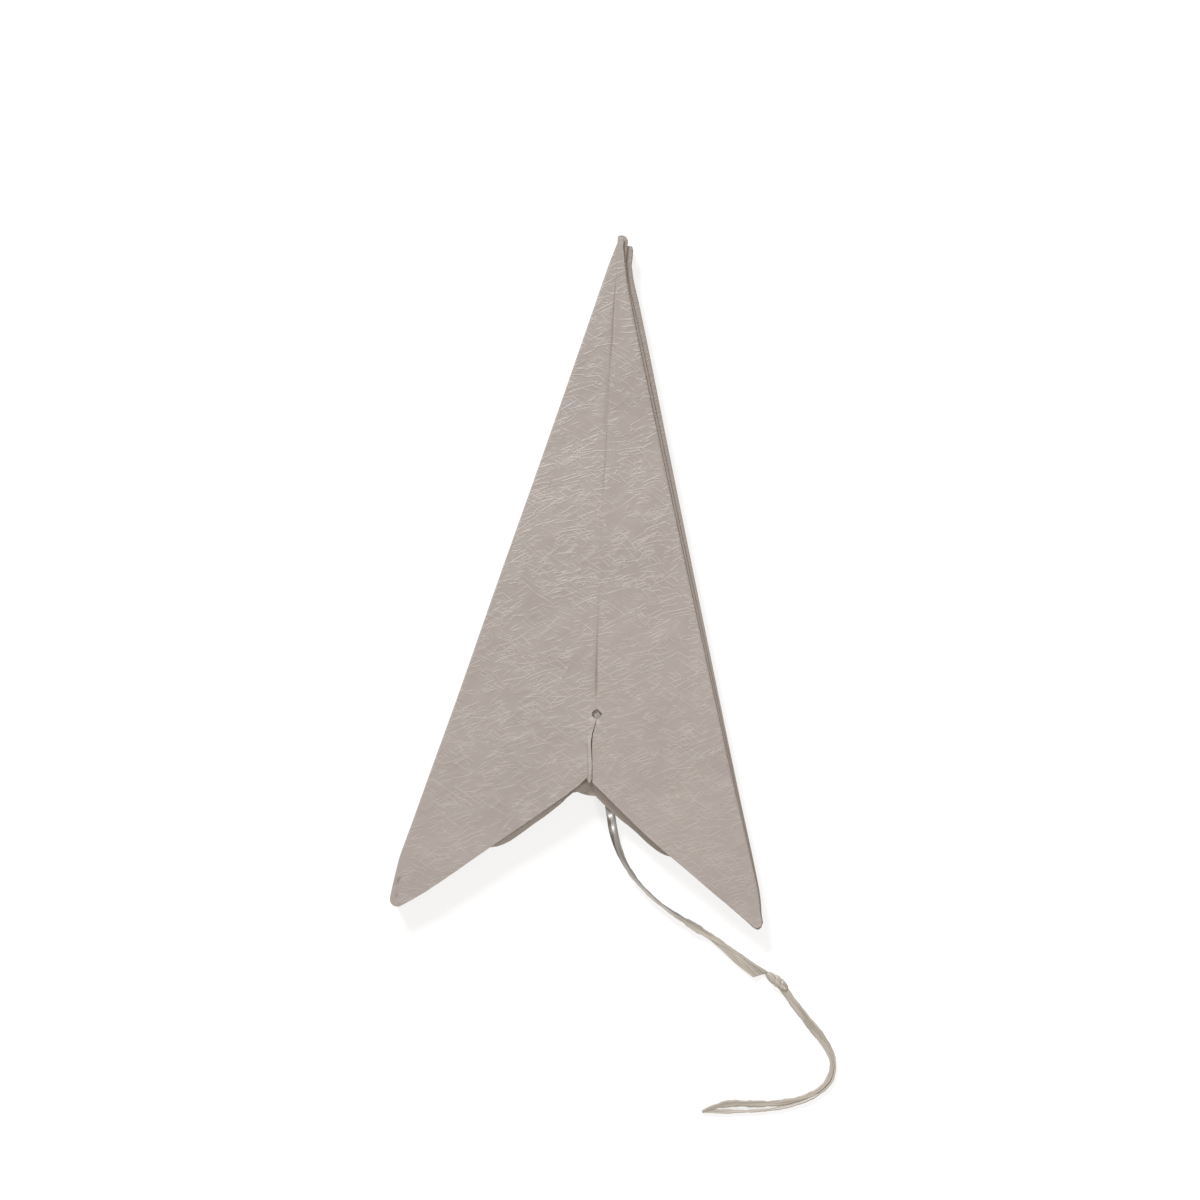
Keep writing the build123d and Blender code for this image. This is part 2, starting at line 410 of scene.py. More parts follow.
# The emboss of the card: raised curved strokes over a soft crumple
emboss = {
    "seed": 11,
    "strokes": 1500,
    "field": ((-62, 2), (62, 226)),  # corners of the area of their middles, mm
    "length": (3.0, 12.0),
    "shorter": (0.5, 1.0),
    "taper": 0.55,  # share of each half that thins out
    "halfWidth": (0.23, 0.36),
    "height": (0.05, 0.20),
    "most": 0.22,  # where strokes cross
    "calm": 0.45,  # what is left of it at the wings
    "strokeHighlight": 0.24,  # painted highlight: how much lighter the highest strokes are
    "plainCrease": (0.75, 1.1),  # how much plainer it is along the crease, and how near
    "tipEnd": (224.0, 8.0),  # y where it ends at the tip, and over what run
    "wingEnd": (6.0, 38.0),  # y where it starts to grow from the wings, and over what run
    "slants": ((0.60, 28, 16), (0.40, -28, 22)),  # share, degrees and spread of the two directions
    "bend": (0.09, 0.3),  # share of a stroke's length, and the shift that keeps it about its middle
    "crumple": ((2.4, 0.070), (0.85, 0.020)),  # softness in mm and height of each layer
    "cell": 0.2,
    "low": (-68.0, -4.0),
    "cells": (680, 1170),  # columns and rows of the map
}


def embossMap():
    # height in mm on a square grid: the sum of strokes, each height * exp(-(across/width)^2) with
    # tapered ends and a bend, and of white noise blurred to each softness; also the strokes alone
    draw = np.random.default_rng(emboss["seed"])
    columns, rows = emboss["cells"]
    cell = emboss["cell"]
    x = emboss["low"][0] + cell * np.arange(columns)
    y = emboss["low"][1] + cell * np.arange(rows)
    strokes = np.zeros((rows, columns))
    for stroke in range(emboss["strokes"]):
        centre = draw.uniform(*emboss["field"])
        length = draw.uniform(*emboss["length"]) * draw.uniform(*emboss["shorter"])
        width = draw.uniform(*emboss["halfWidth"])
        height = draw.uniform(*emboss["height"])
        slant = emboss["slants"][0 if draw.random() < emboss["slants"][0][0] else 1]
        angle = math.radians(draw.normal(slant[1], slant[2]))
        bend = draw.normal(0, emboss["bend"][0]) * length
        reach = length / 2 + 3 * width
        i0, i1 = np.searchsorted(x, (centre[0] - reach, centre[0] + reach))
        j0, j1 = np.searchsorted(y, (centre[1] - reach, centre[1] + reach))
        dx, dy = np.meshgrid(x[i0:i1] - centre[0], y[j0:j1] - centre[1])
        along = (dx * math.cos(angle) + dy * math.sin(angle)) / (length / 2)
        across = -dx * math.sin(angle) + dy * math.cos(angle) - bend * (along ** 2 - emboss["bend"][1])
        taper = easeStep((1.0 - np.abs(along)) / emboss["taper"])
        strokes[j0:j1, i0:i1] += height * np.exp(-(across / width) ** 2) * taper
    strokes = emboss["most"] * np.tanh(strokes / emboss["most"])
    ku, kv = np.meshgrid(np.fft.fftfreq(columns, cell), np.fft.fftfreq(rows, cell))
    total = strokes.copy()
    for softness, height in emboss["crumple"]:
        white = draw.normal(size=(rows, columns))
        blur = np.exp(-2 * (math.pi * softness) ** 2 * (ku ** 2 + kv ** 2))
        soft = np.real(np.fft.ifft2(np.fft.fft2(white) * blur))
        total += soft / soft.std() * height
    return total, strokes


def readMap(field, x, y):
    # value of the map at any place, straight-line mixed between the four nearest cells
    u = np.clip((x - emboss["low"][0]) / emboss["cell"], 0, emboss["cells"][0] - 1.001)
    v = np.clip((y - emboss["low"][1]) / emboss["cell"], 0, emboss["cells"][1] - 1.001)
    i = u.astype(int)
    j = v.astype(int)
    u = u - i
    v = v - j
    low = field[j, i] * (1 - u) + field[j, i + 1] * u
    high = field[j + 1, i] * (1 - u) + field[j + 1, i + 1] * u
    return low * (1 - v) + high * v


embossHeight, embossStrokes = embossMap()
print("emboss map made")

# One folded point of the star
pageShape = {
    "wingRound": {1: 1.7, -1: 2.2},
    # where the edge starts to rise towards the wing, over what run and how far
    "wingLift": {1: (54.0, 20.0, 1.1), -1: (64.0, 12.0, 0.6)},
    # by place in the fan: half-width of the rounded tip on each side, its top and how far it leans over
    "tipRound": ({1: 0.8, -1: 0.5}, {1: 1.75, -1: 0.75}, {1: 0.8, -1: 0.8}),
    "tipTop": (226.4, 227.2, 224.0),
    "tipLean": ((0.95, 13.0), (0.70, 16.0), (1.5, 6.0)),  # and over what height
    "leanLess": {1: 0.0, -1: 0.9},  # how much less the ridge folds lean
    "tipTall": 1.3,  # height of the rounding by its half-width
    "tipRows": 16,
    "tipSpread": 1.7,  # power by which those rows are closer together at the top
    "sagRun": 3.0,  # mm below the rounding over which the rows take their slant
    "capHeight": 0.5,  # mm over which the two layers close at the top
    "stubShare": 0.04,  # share of the crease below which the rows follow the rounded tip
    "foldRadius": {"front": 0.6, "under": 1.4},
    "foldMost": 0.3,  # its largest share of the half-width
    "foldSharp": 0.85,  # share of it that is lost at the wing
    "insetMost": (0.35, 0.4),  # the card's largest share of the height and of the half-width
    # powers by which the lift grows towards the wing, and the bow and the fold towards the ridge
    "liftPower": 8,
    "bowPower": 5,
    "foldPower": 8,
    "underShade": {1: -0.33, -1: -0.1},  # painted shade on the points below the first, stronger on the right
    "pocketShade": -0.30,  # and painted shade inside each
    "foldFade": 0.93,  # share of the way to the wing where the fold starts to sharpen
    "foldAngles": (80, 12, 6),  # degrees from and to, and steps round half the fold
    "sharpAngle": 38.0,
    # mm between rows, between those near the mouth, and how near
    "rowSteps": {"front": (0.55, 0.55, 26.0), "under": (3.0, 0.9, 9.0), "base": (4.0, 0.9, 9.0)},
    # mm along the mouth from the notch to each column of the lower layers, then by share to the wing
    "notchStops": {"front": [0, 0.4, 0.8, 1.2, 1.6, 2.1], "under": [0, 1.5]},
    "mouthStops": [3, 4.5, 6, 7.2, 8.4, 9.4, 10.2, 11, 11.8, 12.8, 14, 17, 21, 25, 29, 31, 33, 34.5, 36,
                   37.5, 39, 40.5, 44, 52, 61],
    "mouthRun": 75.4,
    "wingStops": (0.88, 1.0, 7),
    # where each band of rows starts and its columns: about half a millimetre apart on the front
    "bands": {"front": ((230, 56), (165, 100), (112, 142)), "under": ((230, 30),)},
    "spread": {"front": 1.15, "under": 1.0},
    "droop": 0.34,  # how much further the tabs of each higher point hang
    "droopRun": 3.6,  # mm below the edge over which they do
    "tabEnd": 41.0,  # run along the mouth past which nothing hangs
    # how far the tabs and the web reach below the notch edge, by run along it from the notch
    "fringe": {
        1: [(0, 5.2), (1.3, 4.4), (2.5, 3.7), (3.2, 3.4), (4.2, 3.6), (5.1, 3.95), (6.4, 3.9), (8.6, 3.85),
            (11.4, 3.9), (13.2, 3.88), (15, 3.8), (17, 3.5), (20, 3.35), (28, 3.4), (33, 2.3), (36.8, 0.5),
            (38.6, 0), (40, 0), (90, 0)],
        -1: [(0, 5.3), (3.2, 2.8), (6.2, 0.3), (7, 0), (9.4, 0), (10.4, 0.2), (11.6, 0.8), (14, 1.15),
             (18, 1.7), (23, 1.9), (28, 2.3), (33, 2.35), (36.5, 1.6), (38.8, 0.4), (40, 0), (43, 0),
             (90, 0)],
    },
    # how the edge of the free top layer leaves the straight line
    "edgeBow": {
        1: [(0, -0.75), (8, -0.75), (27, -1.25), (45, -0.5), (58, 0), (90, 0)],
        -1: [(0, 2.3), (2, 2.0), (5, 1.2), (8, 0.75), (18, 0.1), (30, -0.1), (45, -0.4), (54, -0.7),
             (62, -0.8), (70, -0.65), (76, -0.35), (90, -0.3)],
    },
    # how far a ridge fold leaves the straight line, by share of the way from the tip
    "ridgeBow": {
        ("front", 1): [(0, 0), (0.03, 0), (0.06, -0.15), (0.12, -0.45), (0.2, -0.55), (0.45, -0.5),
                       (0.65, -0.25), (0.8, 0.05), (0.93, 0.5), (0.95, 0.5), (0.97, 0.2), (0.985, -0.25),
                       (1, -0.4)],
        ("under", 1): [(0, 0), (0.03, -0.1), (0.055, -0.35), (0.09, -0.1), (0.13, 0), (0.3, 0), (0.6, 0.2),
                       (0.8, 0.45), (0.93, 0.7), (0.95, 0.65), (0.97, 0.3), (0.985, -0.2), (1, -0.4)],
        ("front", -1): [(0, 0), (0.15, 0), (0.3, 0.1), (0.55, 0.6), (0.7, 0.75), (0.83, 1.2), (0.9, 1.4),
                        (0.92, 1.5), (0.94, 1.55), (0.96, 1.2), (0.98, 0.75), (1, 0.2)],
        ("under", -1): [(0, 0), (0.15, 0), (0.3, 0.1), (0.55, 0.6), (0.7, 0.7), (0.83, 1.1), (0.9, 1.25),
                        (0.92, 1.35), (0.94, 1.4), (0.96, 1.05), (0.98, 0.6), (1, 0.05)],
    },
}
# The crease, cable hole and slit of the free top layer: x of the crease by y
freeLayer = {
    "crease": [(44, 2.6), (50, 2.48), (56, 1.95), (61.6, 1.6), (64.3, 1.75), (66.3, 2.2), (68.3, 2.6),
               (70.7, 2.7), (75, 2.45), (81.6, 2.05), (110, 1.15), (148, 0.4), (160, 0.5), (165, 0.3),
               (173, 0.4), (182, 0.12), (193, 0.25), (204, 0.12), (211, 0.27), (228, 0.3)],
    "creaseSettle": 5.0,  # mm below the tip over which the crease comes to that line
    "creaseReach": 7.0,  # how far beside it the card moves along
    "hole": (70.7, 1.6),  # y of its middle, radius
    "holeRows": 21,
    "slitHalf": [(44, 0.13), (53, 0.14), (58, 0.19), (61, 0.18), (64, 0.13), (69, 0.10), (72.5, 0.10)],
    "gapReach": 2.2,  # how far beside them the card gives way
    "floorRaise": 0.52,  # how far the layer below comes up under the hole and the slit
    # y where that starts and over what run, how far above the hole it ends and over what run, half-width
    "floorSwell": (51.0, 6.0, 9.0, 5.0, 4.0),
    "floorTone": 0.62,  # painted light: how much lighter it is under the hole
    "floorLight": 3.0,  # and how far round
    # soft marks, each by place, half-length, half-width, degrees and tone, darker for a positive tone:
    # painted shadows where the strip rests on the web and on the floor under the hole, and painted light
    # along the slit
    "contact": [((0.75, 48.5), 0.55, 0.5, 0, 0.7), ((1.75, 47.5), 1.0, 0.42, 0, 0.75),
                ((2.75, 48.4), 0.45, 0.7, 0, 0.6), ((1.7, 71.55), 0.9, 0.95, 0, 1.5),
                ((1.75, 60.5), 1.2, 6.0, 0, -0.5)],
    # painted highlights on the lips of the slit, just below the hole
    "lipHighlights": [((1.4, 68.9), 0.8, 0.75, 0, 0.75), ((3.1, 68.3), 0.7, 0.5, 0, 0.85)],
    "stripWidth": 1.35,  # the rounded strip left of the slit
    "stripHeight": (66.0, 7.0, 0.55),  # y where it starts to rise, over what run and how far
    "stripEnd": (54.0, 5.0, 2.45),  # the same for how it stands out below the edge
    "stripDrop": (51.5, 2.5, 0.7),  # and bends down
    "stripRound": 0.7,  # power that shapes its end
    # painted highlight: how much lighter it is, and painted shade: how much darker along its side, and where
    # and how wide that is by its width
    "stripTone": (0.22, 0.25, 1.05, 0.13),
    "grooveDepth": [(44, 0.0), (73, 0.03), (75.5, 0.10), (78, 0.26), (88, 0.26), (97, 0.15), (112, 0.03),
                    (130, 0.03), (150, 0.10), (160, 0.13), (166, 0.07), (174, 0.06), (181, 0.10), (188, 0.17),
                    (203, 0.17), (214, 0.05), (228, 0)],
    "grooveWidth": 0.26,
    "grooveShoulder": (0.6, 0.9),  # share of its depth and reach on its left
    "pleat": (164.0, 183.0, 1.3, 0.06),  # where the crease is a narrow flat strip, its width and depth
    "pleatEnds": (3.0, 0.35),  # mm over which it starts, along and across
    # and small dents near the left wing, painted darker inside as shade
    "dents": [((-58.5, 12.5), 0.95, 0.45, 64, 1.3), ((-58.9, 7.3), 0.55, 0.4, 70, 0.9),
              ((-58.8, 9.6), 2.8, 0.25, 86, 0.25)],
    "dentDepth": 0.2,
    "mouthLift": [(44, 0.42), (58, 0.5), (71, 0.52), (80, 0.3), (94, 0.0), (100, 0.0), (230, 0.0)],
    "mouthReach": 24.0,  # how far from the crease the lift reaches
    "creaseTone": 2.2,  # painted shade: how strongly the groove darkens, per mm of depth
    "bowFrom": 0.90,  # share of the way to the notch where the edge's bow sets in
}


def mouthLine(side, share):
    # mouth edge of one half by share of its length: straight from the notch, then an arc round the
    # wing to the ridge fold; returns the places and the run along the edge
    wing = np.array([side * star["wingHalf"], 0.0])
    arcRadius = pageShape["wingRound"][side]
    edge = wing - notch
    edgeLength = np.linalg.norm(edge)
    edge = edge / edgeLength
    ridge = (tip - wing) / np.linalg.norm(tip - wing)
    half = 0.5 * math.acos(float(-edge @ ridge))
    straight = edgeLength - arcRadius / math.tan(half)
    run = share * (straight + arcRadius * (math.pi - 2 * half))
    middle = (ridge - edge) / np.linalg.norm(ridge - edge)
    centre = wing + middle * arcRadius / math.sin(half)
    first = (notch + edge * straight - centre) / arcRadius
    turn = side * np.maximum(run - straight, 0.0) / arcRadius
    arc = np.column_stack([first[0] * np.cos(turn) - first[1] * np.sin(turn),
                           first[0] * np.sin(turn) + first[1] * np.cos(turn)])
    line = notch + edge * np.minimum(run, straight)[:, None]
    return np.where((run < straight)[:, None], line, centre + arcRadius * arc), run


def ridgeNormal(side):
    # unit vector in plan from a ridge fold towards the crease
    ridge = np.array([side * star["wingHalf"], -tip[1]])
    ridge = ridge / np.linalg.norm(ridge)
    return np.array([ridge[1] * side, -ridge[0] * side])


def pageRows(fan, spacing, mouthSpacing, mouthReach, withHole=False):
    # y of the rows on the crease, from the rounded tip to the notch: close together at the tip and
    # towards the mouth, and where asked by equal angles round the hole
    stubY = tip[1] - pageShape["stubShare"] * creaseRun
    top = pageShape["tipTop"][fan]
    near = (np.arange(pageShape["tipRows"]) / pageShape["tipRows"]) ** pageShape["tipSpread"]
    near = top - (top - stubY) * near
    switch = notch[1] + mouthReach
    main = np.linspace(stubY, switch, int((stubY - switch) / spacing) + 1)[:-1]
    last = np.linspace(switch, notch[1], int(mouthReach / mouthSpacing) + 1)
    rows = np.concatenate([near, main, last])
    if withHole:
        middle, radius = freeLayer["hole"]
        around = middle + radius * np.cos(np.linspace(0, math.pi, freeLayer["holeRows"]))
        rows = np.concatenate([rows[np.abs(rows - middle) > radius], around])
    return np.unique(rows)[::-1]


def pagePlan(rowsY, side, share, page, layer):
    # plan of one half on a grid: tip + t (mouth - tip), narrowed near the tip to the rounded end;
    # also the share of the way from ridge to notch, the half-width, and what hangs below the edge
    mouth, run = mouthLine(side, share)
    edgeY = mouth[:, 1].copy()
    if layer == "fringe":
        mouth[:, 1] -= lineThrough(run, pageShape["fringe"][side]) * (run < pageShape["tabEnd"])
    t = (tip[1] - rowsY) / creaseRun
    tRow = np.maximum(t, pageShape["stubShare"])
    grid = tip + tRow[:, None, None] * (mouth - tip)[None]
    start, over, most = pageShape["wingLift"][side]
    grid[..., 1] += tRow[:, None] ** pageShape["liftPower"] * (most * easeStep((run - start) / over))[None]
    inward = ridgeNormal(side)
    slope = star["wingHalf"] / tip[1]
    full = pageShape["stubShare"] * creaseRun * slope
    tipHalf = pageShape["tipRound"][page["fan"]][side]
    tipTall = tipHalf * pageShape["tipTall"]
    h = pageShape["tipTop"][page["fan"]] - rowsY
    arch = tipHalf * np.sqrt(np.maximum(1 - np.maximum(1 - h / tipTall, 0) ** 2, 0))
    wide = np.where(h < tipTall, arch, np.maximum(tipHalf, (tip[1] - rowsY) * slope))
    squeeze = np.where(t < pageShape["stubShare"], np.minimum(wide / full, 1.0), 1.0)
    sag = squeeze * easeStep((h - tipTall) / pageShape["sagRun"])
    most, reach = pageShape["tipLean"][page["fan"]]
    lean = (most * easeStep(1 - h / reach))[:, None] * (1 - pageShape["leanLess"][side] * share[None])
    rowMiddle = tip[1] - tRow * creaseRun
    grid[..., 0] = tip[0] + (grid[..., 0] - tip[0]) * squeeze[:, None]
    grid[..., 1] = rowsY[:, None] + (grid[..., 1] - rowMiddle[:, None]) * sag[:, None]
    bow = lineThrough(t, pageShape["ridgeBow"][page["kind"], side]) * squeeze
    # at the very top all columns lean alike, so that they still meet in one point
    grid[..., 0] += lean * squeeze[:, None] ** 0.5 + lean[:, :1] * (1 - squeeze[:, None] ** 0.5)
    grid = grid - (bow[:, None] * share[None] ** pageShape["bowPower"])[..., None] * inward
    below = np.maximum(edgeY[None] - grid[..., 1], 0.0)
    if layer == "free":
        late = easeStep((t - freeLayer["bowFrom"]) / (1 - freeLayer["bowFrom"]))
        grid[..., 1] += late[:, None] * lineThrough(run, pageShape["edgeBow"][side])[None]
        below = np.zeros(grid.shape[:2])
    fromRidge = np.abs((mouth - tip) @ inward) / abs(float((notch - tip) @ inward))
    rise = tRow[:, None] * fromRidge[None] * squeeze[:, None]
    return grid, np.clip(rise, 0, 1.1), wide, below


def pageHeights(level, rise, h):
    # bottom and top of one point: level times the pitch, closing to the middle at the rounded tip
    pitch = star["edgePitch"] + (star["notchPitch"] - star["edgePitch"]) * rise
    low = level * pitch
    high = (level + 1) * pitch - star["pointGap"]
    cap = np.sqrt(np.clip(1 - (1 - np.clip(h / pageShape["capHeight"], 0, 1)) ** 2, 0, 1))[:, None]
    middle = (low + high) / 2
    return middle - (middle - low) * cap, middle + (high - middle) * cap


def pageSide(rowsY, side, share, fold, page, layer, up, inset=0.0):
    # one half of a layer: the facet from crease to ridge, then the rounded fold by its angles;
    # up is 1 for the top layer and -1 for the bottom one, inset is the thickness taken off inside
    grid, rise, wide, below = pagePlan(rowsY, side, share, page, layer)
    h = pageShape["tipTop"][page["fan"]] - rowsY
    low, high = pageHeights(page["level"], rise, h)
    fade = easeStep(((tip[1] - rowsY) / creaseRun - pageShape["foldFade"]) / (1 - pageShape["foldFade"]))
    radius = np.minimum(pageShape["foldRadius"][page["kind"]], pageShape["foldMost"] * wide)
    radius = (radius * (1 - pageShape["foldSharp"] * fade))[:, None]
    byHeight, byWidth = pageShape["insetMost"]
    thin = np.minimum(inset, byHeight * (high - low))
    back = np.minimum(inset, byWidth * wide[:, None])
    inward = ridgeNormal(side)
    shift = (radius + back) * share[None] ** pageShape["foldPower"]
    plan = grid + shift[..., None] * inward
    z = high - thin if up > 0 else low + thin
    hang = pageShape["droop"] * page["level"] * easeStep(below / pageShape["droopRun"])
    facet = withHeight(plan, z - hang)
    if fold is None:
        return facet
    low, high = low[:, -1:] + thin[:, -1:], high[:, -1:] - thin[:, -1:]
    edge = grid[:, -1:] + back[..., None] * inward
    curve = edge + (radius * (1 - np.cos(fold))[None])[..., None] * inward
    rim = (low + high) / 2 + (high - low) / 2 * np.sin(fold)[None]
    return np.concatenate([facet, withHeight(curve, rim)], 1)


def openSeam(side, grid, rowsY):
    # free layer only: moves the crease to its own line and parts it round the hole and along the slit
    middle, radius = freeLayer["hole"]
    straight = notch[0] * (tip[1] - rowsY) / creaseRun
    settle = easeStep((pageShape["tipTop"][0] - rowsY) / freeLayer["creaseSettle"])
    seam = straight + (lineThrough(rowsY, freeLayer["crease"]) - straight) * settle
    off = rowsY - middle
    gap = np.where(np.abs(off) < radius, np.sqrt(np.maximum(radius ** 2 - off ** 2, 0)), 0.0)
    gap = np.where(rowsY < middle, np.maximum(gap, lineThrough(rowsY, freeLayer["slitHalf"])), gap)
    gap[off >= radius - 1e-6] = 0.0
    reach = np.abs(grid[..., 0] - grid[:, :1, 0])
    blend = np.exp(-(reach / freeLayer["creaseReach"]) ** 2)
    close = np.exp(-reach / freeLayer["gapReach"])
    grid[..., 0] += (seam - straight)[:, None] * blend + side * gap[:, None] * close
    return grid, seam, gap


def softMarks(x, y, marks):
    # sum of soft marks: tone times exp(-(along/length)^2 - (across/width)^2), each turned by its degrees
    total = np.zeros(x.shape)
    for (markX, markY), length, width, degrees, most in marks:
        cosine, sine = math.cos(math.radians(degrees)), math.sin(math.radians(degrees))
        along = (x - markX) * cosine + (y - markY) * sine
        across = (y - markY) * cosine - (x - markX) * sine
        total += most * np.exp(-(along / length) ** 2 - (across / width) ** 2)
    return total


def fromRow(rowsY, start, run, most):
    # 0 above a row, easing to the most over a run below it
    return most * easeStep((start - rowsY) / run)[:, None]


def mouthRise(rowsY, off):
    # the lifted mouth: its height by row times exp(-(off/reach)^2) from the crease
    return lineThrough(rowsY, freeLayer["mouthLift"])[:, None] * np.exp(-(off / freeLayer["mouthReach"]) ** 2)


def dressFreeLayer(side, grid, rowsY, seam):
    # raises the emboss, the strip by the slit and the lifted mouth, and presses the crease groove in; also
    # returns the painted light and shade: highlights on the strokes, the strip and the lips of the slit,
    # shade in the groove, the dents and beside the strip
    layer = freeLayer
    x = grid[..., 0]
    y = grid[..., 1]
    off = np.abs(x - seam[:, None])
    shoulder, reach = layer["grooveShoulder"]
    groove = np.exp(-(off / layer["grooveWidth"]) ** 2) + (side < 0) * shoulder * np.exp(-off / reach)
    groove = lineThrough(rowsY, layer["grooveDepth"])[:, None] * groove
    if side < 0:
        low, high, wide, deep = layer["pleat"]
        along, across = layer["pleatEnds"]
        here = easeStep((rowsY - low) / along) * easeStep((high - rowsY) / along)
        groove += deep * here[:, None] * easeStep((wide - off) / across)
    plain, near = emboss["plainCrease"]
    tipY, tipRun = emboss["tipEnd"]
    wingY, wingRun = emboss["wingEnd"]
    quiet = (1 - plain * np.exp(-(off / near) ** 2)) * easeStep((tipY - y) / tipRun)
    quiet = quiet * (emboss["calm"] + (1 - emboss["calm"]) * easeStep((y - wingY) / wingRun))
    stroke = readMap(embossStrokes, x, y) * quiet
    grid[..., 2] += readMap(embossHeight, x, y) * quiet - groove + mouthRise(rowsY, off)
    # painted highlight on the strokes
    tone = emboss["strokeHighlight"] * np.clip(stroke / emboss["most"], 0, 1)
    dent = softMarks(x, y, layer["dents"])
    grid[..., 2] -= layer["dentDepth"] * dent
    # painted shade in the groove and the dents, painted highlights on the lips of the slit
    tone = tone - np.clip(groove * layer["creaseTone"], 0, 1) + softMarks(x, y, layer["lipHighlights"]) - dent
    if side < 0:
        across = off / layer["stripWidth"]
        bulge = np.sqrt(np.maximum(1 - (2 * np.clip(across, 0, 1) - 1) ** 2, 0))
        grid[..., 2] += (fromRow(rowsY, *layer["stripHeight"]) - fromRow(rowsY, *layer["stripDrop"])) * bulge
        grid[..., 1] -= fromRow(rowsY, *layer["stripEnd"]) * bulge ** layer["stripRound"]
        lighter, darker, place, width = layer["stripTone"]
        # painted highlight on the strip and painted shade along its left side
        mark = lighter * bulge - darker * np.exp(-((across - place) / width) ** 2)
        tone = tone + mark * fromRow(rowsY, *layer["stripHeight"][:2], 1.0)
    return grid, tone


def dressPocket(grid, tone):
    # floor of the first point's pocket: a soft swell exp(-(off/wide)^2) under the hole and the slit, with
    # painted light under the hole and the painted shadows and light of the soft marks
    x = grid[..., 0]
    y = grid[..., 1]
    holeY = freeLayer["hole"][0]
    holeX = float(lineThrough(np.array([holeY]), freeLayer["crease"])[0])
    start, startRun, above, endRun, wide = freeLayer["floorSwell"]
    along = easeStep((y - start) / startRun) * easeStep((holeY + above - y) / endRun)
    grid[..., 2] += freeLayer["floorRaise"] * np.exp(-((x - holeX) / wide) ** 2) * along
    away = (x - holeX) ** 2 + (y - holeY) ** 2
    # painted light on the floor under the hole
    tone = tone + freeLayer["floorTone"] * np.exp(-away / freeLayer["floorLight"] ** 2)
    # painted shadows where the strip rests on the web and under the hole, painted light along the slit
    return grid, tone - softMarks(x, y, freeLayer["contact"])


